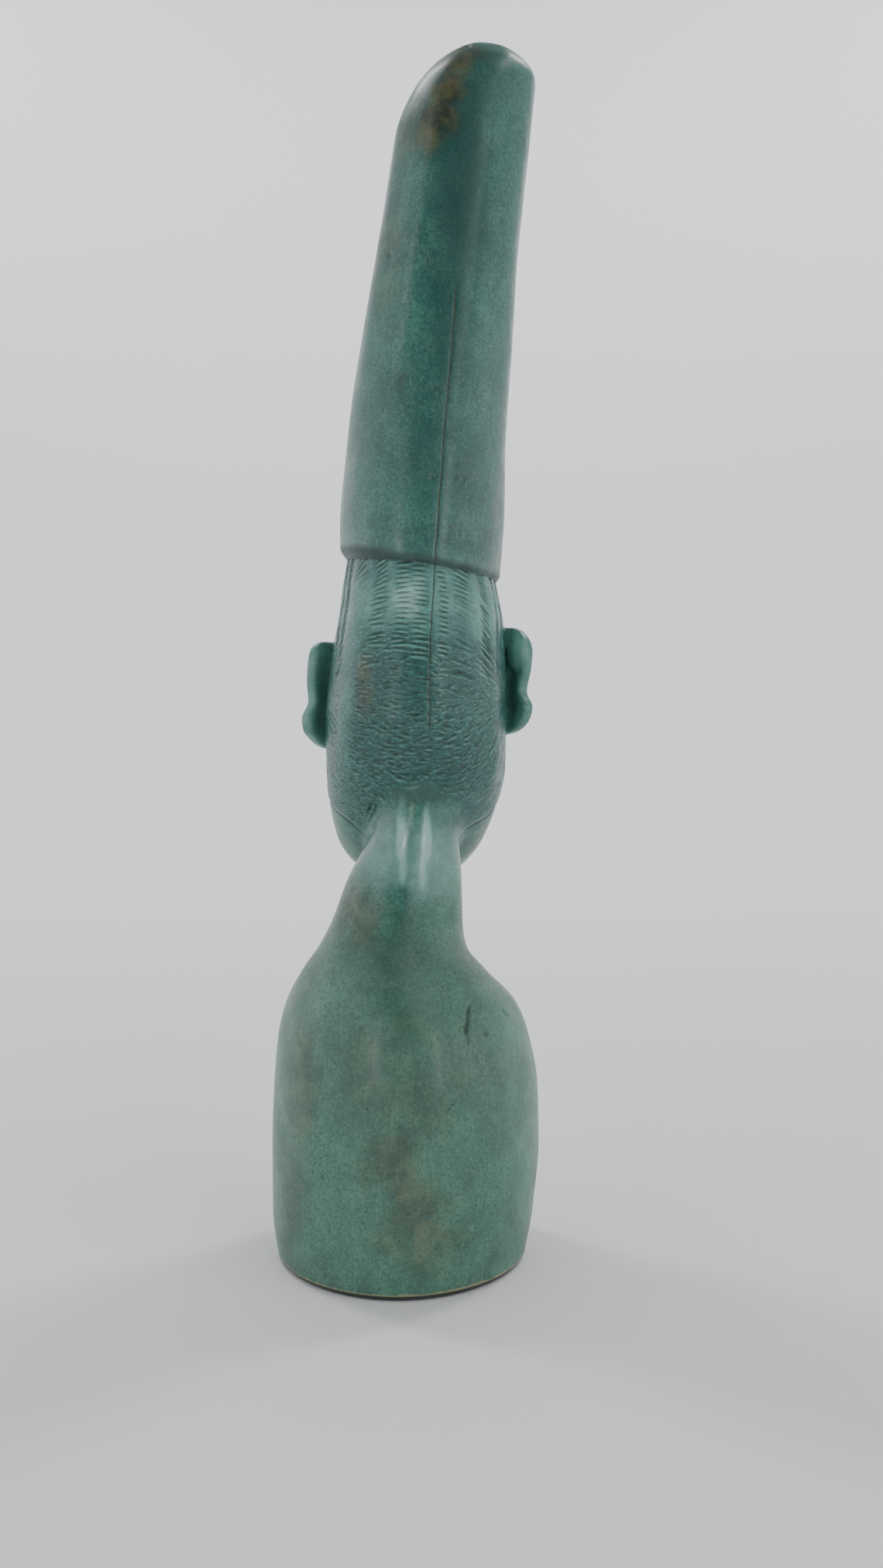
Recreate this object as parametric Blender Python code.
"""A head and bust under a tall leaning hat, carved and waxed from a single block of soapstone.

Units are metres and +Z is up. The origin is the centre of the flat underside, the face looks along -Y
and +X is the figure's own left side. Shoulders and neck, head, ears and hat are shaped one by one and
then fused into one closed stone, with its underside cut flat.
"""

import math
from typing import Callable, NamedTuple

import bmesh
import bpy
from mathutils import Matrix, Vector

# Shoulders and neck.
BUST_WIDTH = 0.0885
BUST_DEPTH = 0.0800
NECK_TOP = 0.1560
FOOT_ROUND = 0.0020

# Head. Its height runs from under the chin to the crown, which the hat hides.
HEAD_WIDTH = 0.0612
HEAD_DEPTH = 0.0710
HEAD_HEIGHT = 0.1280
CHIN_DROP = 0.0370
HEAD_FORWARD = 0.0075
HEAD_ASIDE = -0.0006
HEAD_LEAN = math.radians(2.7)

# Face, as heights of its relief over the plain head, and how wide the nose is at its bridge and below it,
# as shares of half of HEAD_WIDTH.
BROW_RELIEF = 0.0016
SOCKET_RELIEF = 0.0036
EYE_RELIEF = 0.0030
NOSE_RELIEF = 0.0098
LIP_RELIEF = 0.0030
CHIN_RELIEF = 0.0026
CHEEK_RELIEF = 0.0012
NOSE_NARROW = 0.15
NOSE_WIDENING = 0.09

# Hair: how far it stands over the bare jaw and nape, and the rows of chisel cuts in it.
HAIR_RELIEF = 0.0005
TICK_DEPTH = 0.0005
TICK_PITCH = 0.0042
TICK_LENGTH = 0.0085
TICK_ARCH = 0.30

# Ears. The dish starts this share of the way from the middle of the leaf to its edge.
EAR_HEIGHT = 0.0358
EAR_LENGTH = 0.0205
EAR_THICKNESS = 0.0062
EAR_FLARE = math.radians(36.0)
EAR_ROOT = 0.0035
EAR_DISH_START = 0.10

# Hat. Its length runs along its own axis, from the rim to the top.
HAT_LENGTH = 0.1687
HAT_OVERHANG = 0.0018
HAT_LEAN = math.radians(6.5)
HAT_TIP_BACK = math.radians(5.5)
RIM_CHAMFER = 0.0044

# Finish.
STONE_TRIANGLES = 9000
STONE_COLOUR = (0.085, 0.225, 0.185, 1.0)
STONE_ROUGHNESS = 0.32


class Station(NamedTuple):
    """A cross-section of a body: its place along the body and its reach to each side of the body's axis."""

    rise: float
    left: float
    right: float
    back: float
    front: float


# Shares of NECK_TOP, and of half of BUST_WIDTH and BUST_DEPTH. The right shoulder turns up into the neck
# in a tight notch, and the left one climbs in a long slope.
BUST_STATIONS = [
    Station(0.00, 0.942, 0.882, 0.975, 0.960),
    Station(0.10, 0.990, 0.950, 0.990, 0.975),
    Station(0.24, 0.994, 0.996, 1.000, 0.990),
    Station(0.36, 0.978, 0.985, 0.990, 0.965),
    Station(0.46, 0.948, 0.919, 0.945, 0.890),
    Station(0.53, 0.888, 0.821, 0.880, 0.780),
    Station(0.595, 0.771, 0.602, 0.780, 0.620),
    Station(0.65, 0.638, 0.452, 0.690, 0.480),
    Station(0.70, 0.548, 0.426, 0.605, 0.400),
    Station(0.79, 0.430, 0.421, 0.490, 0.340),
    Station(0.89, 0.254, 0.394, 0.440, 0.360),
    Station(0.95, 0.199, 0.405, 0.440, 0.400),
    Station(1.00, 0.180, 0.400, 0.440, 0.420),
]

# Shares of HEAD_HEIGHT, and of half of HEAD_WIDTH and HEAD_DEPTH. The jaw tucks in under the chin.
HEAD_STATIONS = [
    Station(0.000, 0.120, 0.120, -0.600, 0.820),
    Station(0.015, 0.360, 0.360, -0.380, 0.930),
    Station(0.060, 0.690, 0.600, -0.040, 1.000),
    Station(0.130, 0.857, 0.800, 0.240, 1.020),
    Station(0.230, 0.935, 0.935, 0.580, 1.000),
    Station(0.330, 0.955, 0.990, 0.860, 0.985),
    Station(0.450, 0.970, 0.970, 0.985, 0.980),
    Station(0.560, 0.945, 0.945, 1.000, 1.000),
    Station(0.700, 0.886, 0.893, 0.960, 1.000),
    Station(0.850, 0.825, 0.769, 0.870, 0.930),
    Station(1.000, 0.740, 0.740, 0.740, 0.800),
]

# Shares of HAT_LENGTH, and of the reach of the rim to each side.
HAT_STATIONS = [
    Station(0.00, 1.027, 1.004, 0.996, 0.988),
    Station(0.13, 1.089, 0.971, 0.957, 0.958),
    Station(0.28, 1.091, 0.881, 0.915, 0.900),
    Station(0.45, 1.041, 0.833, 0.855, 0.829),
    Station(0.65, 0.961, 0.757, 0.773, 0.758),
    Station(0.80, 0.916, 0.751, 0.713, 0.707),
    Station(1.00, 0.837, 0.718, 0.643, 0.657),
]

# How much of the hat's length the rounding of its top takes to the left, right, back and front, and where
# its highest point is, as shares of the rim's reach to the left and back.
TOP_ROUNDING = (0.187, 0.062, 0.100, 0.160)
PEAK_LEFT = -0.050
PEAK_BACK = 0.082

# How full the roundings of the hat's rim and top are: 2 is a quarter circle, and less is nearer a chamfer.
RIM_FULLNESS = 1.4
TOP_FULLNESS = 1.73

# How much the rim rises towards the figure's left and drops towards the back, for each length outwards.
RIM_RISE_LEFT = 0.057
RIM_DROP_BACK = 0.026

# The rim's height and the ear's middle as shares of HEAD_HEIGHT, and the ear's root as one of half HEAD_DEPTH.
RIM_SHARE = 0.8202
LEFT_EAR_SHARE = 0.497
RIGHT_EAR_SHARE = 0.557
EAR_BACK_SHARE = -0.22

# How far each ear stands out from its root, from lobe to top, as shares of EAR_LENGTH.
LEFT_EAR_OUTLINE = [
    (0.00, 0.660),
    (0.08, 0.770),
    (0.15, 0.870),
    (0.26, 0.890),
    (0.42, 0.755),
    (0.60, 0.837),
    (0.80, 0.883),
    (1.00, 0.952),
]
RIGHT_EAR_OUTLINE = [
    (0.00, 0.740),
    (0.10, 0.880),
    (0.25, 0.952),
    (0.40, 0.810),
    (0.60, 0.933),
    (0.80, 1.005),
    (1.00, 0.920),
]

# The hairline as shares of HEAD_HEIGHT, by the turn in radians from the nape round to the temple.
HAIRLINE = [
    (0.00, 0.120),
    (0.52, 0.135),
    (0.75, 0.165),
    (0.95, 0.185),
    (1.20, 0.205),
    (1.50, 0.250),
    (1.62, 0.360),
    (1.75, 0.600),
    (2.30, 1.000),
]

# Squareness of the sections: 2 is an ellipse, and more is boxier.
BUST_SQUARENESS = 1.92
HEAD_SQUARENESS = 2.15
HAT_SQUARENESS = 2.45


def smooth_curve(points: list[tuple[float, float]]) -> Callable[[float], float]:
    """A function whose curve runs through the points with no overshoot between them."""
    xs = [point[0] for point in points]
    ys = [point[1] for point in points]
    chords = [(ys[i + 1] - ys[i]) / (xs[i + 1] - xs[i]) for i in range(len(xs) - 1)]
    slopes = [chords[0]]
    for before, after in zip(chords, chords[1:]):
        turning = before * after <= 0.0
        slopes.append(0.0 if turning else 2.0 * before * after / (before + after))
    slopes.append(chords[-1])

    def value(x: float) -> float:
        x = min(max(x, xs[0]), xs[-1])
        i = next((k for k in range(len(chords)) if x <= xs[k + 1]), len(chords) - 1)
        width = xs[i + 1] - xs[i]
        t = (x - xs[i]) / width
        start = (1.0 + 2.0 * t) * (1.0 - t) ** 2 * ys[i] + t * (1.0 - t) ** 2 * width * slopes[i]
        end = t * t * (3.0 - 2.0 * t) * ys[i + 1] + t * t * (t - 1.0) * width * slopes[i + 1]
        return start + end

    return value


class Reach(NamedTuple):
    """How far a cross-section reaches: left and right along X, back and front along Y."""

    left: float
    right: float
    back: float
    front: float

    def grown(self, by: float) -> "Reach":
        """The same section with its edge moved outwards."""
        return Reach(self.left + by, self.right - by, self.back + by, self.front - by)

    def point(self, turn: float, squareness: float) -> tuple[float, float]:
        """The section's edge, a superellipse, at this turn from +X towards +Y."""
        power = 2.0 / squareness
        across = math.copysign(abs(math.cos(turn)) ** power, math.cos(turn))
        along = math.copysign(abs(math.sin(turn)) ** power, math.sin(turn))
        x = self.left + self.right + (self.left - self.right) * across
        y = self.back + self.front + (self.back - self.front) * along
        return x / 2.0, y / 2.0


class Sections:
    """The smooth run of cross-sections through a body's stations, whose shares are of the given reach."""

    def __init__(self, stations: list[Station], full: Reach) -> None:
        self.left = smooth_curve([(s.rise, s.left * full.left) for s in stations])
        self.right = smooth_curve([(s.rise, s.right * full.right) for s in stations])
        self.back = smooth_curve([(s.rise, s.back * full.back) for s in stations])
        self.front = smooth_curve([(s.rise, s.front * full.front) for s in stations])

    def at(self, rise: float) -> Reach:
        """The section at this share of the body's length."""
        return Reach(self.left(rise), self.right(rise), self.back(rise), self.front(rise))


def even_reach(width: float, depth: float) -> Reach:
    """The reach of a section that is centred on its axis."""
    return Reach(width / 2.0, -width / 2.0, depth / 2.0, -depth / 2.0)


def hump(distance: float) -> float:
    """A smooth rise: 1 in the middle, and 0 from a distance of 1 on."""
    return 0.5 + 0.5 * math.cos(math.pi * min(abs(distance), 1.0))


def ramp(x: float, start: float, end: float) -> float:
    """A smooth step from 0 at start to 1 at end."""
    t = min(max((x - start) / (end - start), 0.0), 1.0)
    return t * t * (3.0 - 2.0 * t)


def quarter(share: float, fullness: float = 2.0) -> float:
    """The height of a quarter circle at this share of its radius, or of a flatter curve if it is less full."""
    return (1.0 - min(max(share, 0.0), 1.0) ** fullness) ** (1.0 / fullness)


def from_nape(turn: float) -> float:
    """The turn from the middle of the back, round either side."""
    return abs(math.remainder(turn - math.pi / 2.0, math.tau))


def new_body(name: str, bm: bmesh.types.BMesh) -> bpy.types.Object:
    """An object in the scene that holds this mesh as triangles, turned outwards and shaded smooth."""
    bmesh.ops.triangulate(bm, faces=bm.faces)
    bmesh.ops.recalc_face_normals(bm, faces=bm.faces)
    mesh = bpy.data.meshes.new(name)
    bm.to_mesh(mesh)
    bm.free()
    mesh.shade_smooth()
    body = bpy.data.objects.new(name, mesh)
    bpy.context.scene.collection.objects.link(body)
    return body


def wrap(name: str, columns: int, rows: int, place: Callable[[float, float], Vector]) -> bpy.types.Object:
    """A closed body: a grid rolled round by place(turn, rise), with its seam welded and its ends filled."""
    bm = bmesh.new()
    bmesh.ops.create_grid(bm, x_segments=columns, y_segments=rows, size=1.0)
    for vert in bm.verts:
        vert.co = place(math.pi * vert.co.x, 0.5 + 0.5 * vert.co.y)
    bmesh.ops.remove_doubles(bm, verts=bm.verts, dist=1e-6)
    bmesh.ops.holes_fill(bm, edges=[edge for edge in bm.edges if edge.is_boundary])
    return new_body(name, bm)


def make_shoulders() -> bpy.types.Object:
    """Shoulders and neck, from a little below the underside up into the head."""
    sections = Sections(BUST_STATIONS, even_reach(BUST_WIDTH, BUST_DEPTH))

    def place(turn: float, rise: float) -> Vector:
        z = rise * (NECK_TOP + FOOT_ROUND) - FOOT_ROUND
        inset = FOOT_ROUND * (1.0 - quarter(1.0 - max(z, 0.0) / FOOT_ROUND))
        x, y = sections.at(z / NECK_TOP).grown(-inset).point(turn, BUST_SQUARENESS)
        return Vector((x, y, z))

    return wrap("shoulders", columns=96, rows=106, place=place)


def nose_relief(across: float, up: float) -> float:
    """A straight nose: a ridge that widens from the brow down to its wings."""
    down = min(max((0.590 - up) / 0.290, 0.0), 1.13)
    ridge = (0.30 + 0.70 * down**1.2) * ramp(down, 0.0, 0.18) * (1.0 - ramp(down, 0.98, 1.13))
    ridge *= hump(across / (NOSE_NARROW + NOSE_WIDENING * down))
    wings = 0.34 * hump((abs(across) - NOSE_NARROW) / 0.11) * hump((up - 0.318) / 0.042)
    return NOSE_RELIEF * max(ridge, wings)


def lip_relief(across: float, up: float) -> float:
    """Full closed lips with a thin line between them."""
    side = abs(across)
    bow = 0.008 * hump((side - 0.10) / 0.14)
    upper = hump(side / 0.50) ** 0.6 * hump((up - 0.222 - bow) / 0.034)
    lower = 1.1 * hump(side / 0.44) ** 0.6 * hump((up - 0.170) / 0.036)
    return LIP_RELIEF * max(upper, lower)


def face_relief(across: float, up: float) -> float:
    """How far a calm, even face stands out of the plain head.

    across is a share of the half width from the middle line, and up a share of the head's height.
    """
    side = abs(across)
    socket = hump((side - 0.40) / 0.36) * hump((up - 0.510) / 0.085)
    eye = min(hump((side - 0.40) / 0.27) * hump((up - 0.507) / 0.040) * 1.5, 1.0)
    brow_line = 0.585 + 0.022 * hump((side - 0.45) / 0.45)
    brow = hump((up - brow_line) / 0.042) * (1.0 - ramp(side, 0.70, 0.98))
    cheek = hump((side - 0.58) / 0.36) * hump((up - 0.395) / 0.125)
    chin = hump(side / 0.50) * hump((up - 0.085) / 0.085)
    eyes = EYE_RELIEF * eye - SOCKET_RELIEF * socket
    bones = BROW_RELIEF * brow + CHEEK_RELIEF * cheek + CHIN_RELIEF * chin
    return eyes + bones + lip_relief(across, up) + nose_relief(across, up)


def tick_relief(turn: float, up: float) -> float:
    """Columns of short chisel cuts that arch over the back of the head, each a half step off the next."""
    girth = HEAD_WIDTH / 2.0 * math.remainder(turn - math.pi / 2.0, math.tau)
    column = round(girth / TICK_LENGTH)
    along = girth / TICK_LENGTH - column
    row = (up * HEAD_HEIGHT + TICK_ARCH * abs(girth)) / TICK_PITCH + 0.5 * (column % 2)
    return TICK_DEPTH * hump(2.0 * math.remainder(row, 1.0)) * hump(2.0 * along) ** 0.5


def head_sections() -> Sections:
    """The head's sections, in its own frame."""
    return Sections(HEAD_STATIONS, even_reach(HEAD_WIDTH, HEAD_DEPTH))


def head_frame() -> Matrix:
    """The head's own frame: its origin is under the chin, and its axis leans to the figure's right."""
    chin = Matrix.Translation((HEAD_ASIDE, -HEAD_FORWARD, NECK_TOP - CHIN_DROP))
    return chin @ Matrix.Rotation(-HEAD_LEAN, 4, "Y")


def make_head() -> bpy.types.Object:
    """The head, with a face on its front and chiselled hair on its back and sides."""
    sections = head_sections()
    frame = head_frame()
    hairline = smooth_curve(HAIRLINE)

    def place(turn: float, rise: float) -> Vector:
        up = rise**1.15
        x, y = sections.at(up).point(turn, HEAD_SQUARENESS)
        outward = Vector((x, y)).normalized()
        y -= ramp(-math.sin(turn), 0.0, 0.3) * face_relief(2.0 * x / HEAD_WIDTH, up)
        start = hairline(from_nape(turn))
        hair = ramp(up, start, start + 0.012) * (HAIR_RELIEF - tick_relief(turn, up))
        return frame @ Vector((x + hair * outward.x, y + hair * outward.y, up * HEAD_HEIGHT))

    return wrap("head", columns=128, rows=120, place=place)


def make_ear(name: str, side: float, middle: float, edge: list[tuple[float, float]]) -> bpy.types.Object:
    """An ear: a thick leaf that stands out and back from the side of the head, dished on its front."""
    sections = head_sections()
    frame = head_frame()
    outline = smooth_curve(edge)
    flare = Vector((side * math.sin(EAR_FLARE), math.cos(EAR_FLARE), 0.0))
    face = Vector((side * math.cos(EAR_FLARE), -math.sin(EAR_FLARE), 0.0))

    def place(turn: float, rise: float) -> Vector:
        level = 0.5 - 0.5 * math.cos(math.pi * rise)
        up = middle + (level - 0.5) * EAR_HEIGHT / HEAD_HEIGHT
        end = (1.0 - abs(2.0 * level - 1.0) ** 6) ** 0.4
        dish = 1.5 * hump((level - 0.55) / 0.42) * hump((math.sin(turn) - EAR_DISH_START) / 0.75)
        along = EAR_LENGTH * outline(level) * (0.5 + 0.5 * end * math.sin(turn))
        over = EAR_THICKNESS / 2.0 * end * math.cos(turn)
        over *= 1.0 - dish if math.cos(turn) > 0.0 else 1.0
        root = Vector((side * (sections.at(up).left - EAR_ROOT), EAR_BACK_SHARE * HEAD_DEPTH / 2.0, 0.0))
        return frame @ (root + along * flare + over * face + Vector((0.0, 0.0, up * HEAD_HEIGHT)))

    return wrap(name, columns=40, rows=36, place=place)


def make_hat() -> bpy.types.Object:
    """The tall hat: it stands over the head all round its rim, leans to the right and back, and narrows."""
    rim = head_sections().at(RIM_SHARE).grown(HAT_OVERHANG)
    sections = Sections(HAT_STATIONS, rim)
    peak = (PEAK_LEFT * rim.left, PEAK_LEFT * rim.left, PEAK_BACK * rim.back, PEAK_BACK * rim.back)
    frame = head_frame() @ Matrix.Translation((0.0, 0.0, RIM_SHARE * HEAD_HEIGHT))
    frame = frame @ Matrix.Rotation(-HAT_TIP_BACK, 4, "X") @ Matrix.Rotation(HEAD_LEAN - HAT_LEAN, 4, "Y")

    def place(turn: float, rise: float) -> Vector:
        level = 0.5 - 0.5 * math.cos(math.pi * rise)
        z = level * HAT_LENGTH
        inset = RIM_CHAMFER * (1.0 - quarter(1.0 - z / RIM_CHAMFER, RIM_FULLNESS))
        body = sections.at(level).grown(-inset)
        rounded = [quarter(1.0 - (1.0 - level) / length, TOP_FULLNESS) for length in TOP_ROUNDING]
        domed = Reach(*(top + (side - top) * share for side, top, share in zip(body, peak, rounded)))
        x, y = domed.point(turn, HAT_SQUARENESS)
        rim_height = RIM_RISE_LEFT * x - RIM_DROP_BACK * y
        return frame @ Vector((x, y, z + rim_height * (1.0 - level)))

    return wrap("hat", columns=96, rows=90, place=place)


def hide_tool(tool: bpy.types.Object) -> None:
    """Marks a body as a tool for shaping the stone."""
    tool.hide_render = True
    tool.display_type = "WIRE"


def add_boolean(stone: bpy.types.Object, tool: bpy.types.Object, operation: str) -> None:
    """Fuses a body with the stone, or cuts it away."""
    modifier = stone.modifiers.new(tool.name, "BOOLEAN")
    modifier.operation = operation
    modifier.solver = "EXACT"
    modifier.object = tool
    hide_tool(tool)


def thin_out(stone: bpy.types.Object, triangles: int) -> None:
    """Keeps about this many triangles, most of them where the carving is."""
    graph = bpy.context.evaluated_depsgraph_get()
    mesh = stone.evaluated_get(graph).data
    mesh.calc_loop_triangles()
    decimate = stone.modifiers.new("thin out", "DECIMATE")
    decimate.ratio = min(triangles / len(mesh.loop_triangles), 1.0)


def make_floor() -> bpy.types.Object:
    """A block under the height of the underside, which cuts it flat."""
    bm = bmesh.new()
    bmesh.ops.create_cube(bm, size=2.0 * BUST_WIDTH)
    bmesh.ops.translate(bm, verts=bm.verts, vec=(0.0, 0.0, -BUST_WIDTH))
    return new_body("floor", bm)


def make_stone() -> bpy.types.Material:
    """Waxed blue-green soapstone."""
    material = bpy.data.materials.new("waxed soapstone")
    material.use_nodes = True
    shader = material.node_tree.nodes["Principled BSDF"]
    shader.inputs["Base Color"].default_value = STONE_COLOUR
    shader.inputs["Roughness"].default_value = STONE_ROUGHNESS
    shader.inputs["Metallic"].default_value = 0.0
    return material


def main() -> None:
    for old in list(bpy.data.objects):
        bpy.data.objects.remove(old)
    figure = make_shoulders()
    figure.name = "carved_figure"
    left_ear = make_ear("left ear", 1.0, LEFT_EAR_SHARE, LEFT_EAR_OUTLINE)
    right_ear = make_ear("right ear", -1.0, RIGHT_EAR_SHARE, RIGHT_EAR_OUTLINE)
    for body in (make_head(), left_ear, right_ear, make_hat()):
        add_boolean(figure, body, "UNION")
    thin_out(figure, STONE_TRIANGLES)
    add_boolean(figure, make_floor(), "DIFFERENCE")
    figure.data.materials.append(make_stone())


main()
